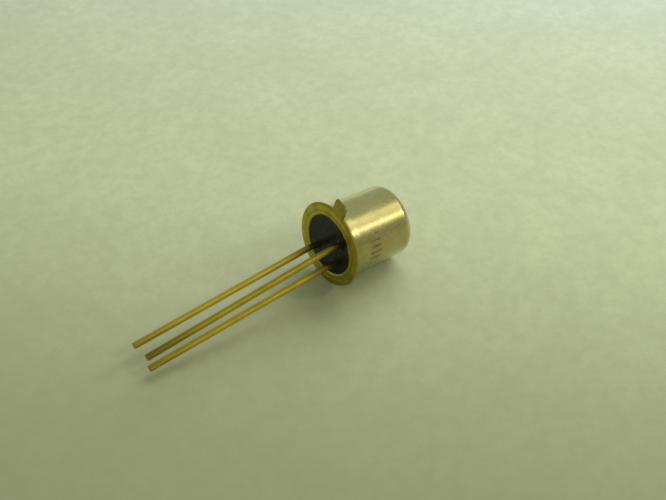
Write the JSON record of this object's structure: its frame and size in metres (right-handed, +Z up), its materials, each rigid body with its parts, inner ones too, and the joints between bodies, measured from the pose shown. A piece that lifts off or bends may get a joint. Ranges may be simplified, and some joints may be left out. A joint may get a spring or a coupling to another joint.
{
  "type": "junction field-effect transistor",
  "caption": "Small-signal transistor in a round metal can with a flanged, tabbed header, a black glass seal and bent wire leads; it amplifies or switches small currents.",
  "frame": {"origin": "middle of the bounding box on the floor plane, under the part as it lies on its side", "axes": "+Z up; +X from the leads' free ends to the closed top of the can; the flange rim and the can's top edge touch Z = 0"},
  "size_m": [0.0186, 0.0056, 0.0064],
  "materials": {
    "cap_nickel": "drawn nickel, satin, lightly rubbed",
    "header_gold": "gold-plated nickel-iron, satin",
    "lead_gold": "gold-plated nickel-iron wire, drawn",
    "seal_glass": "opaque black sealing glass, glossy",
    "silicon": "silicon chip with a passivated top",
    "bond_gold": "gold wire and gold-silicon solder"
  },
  "bodies": {
    "root": {"header_shell": "header_gold", "glass_seal": "seal_glass", "source_lead": "lead_gold", "drain_lead": "lead_gold", "gate_lead": "lead_gold", "die_attach": "bond_gold", "die": "silicon", "source_bond_wire": "bond_gold", "drain_bond_wire": "bond_gold", "cap": "cap_nickel"}
  },
  "joints": []
}
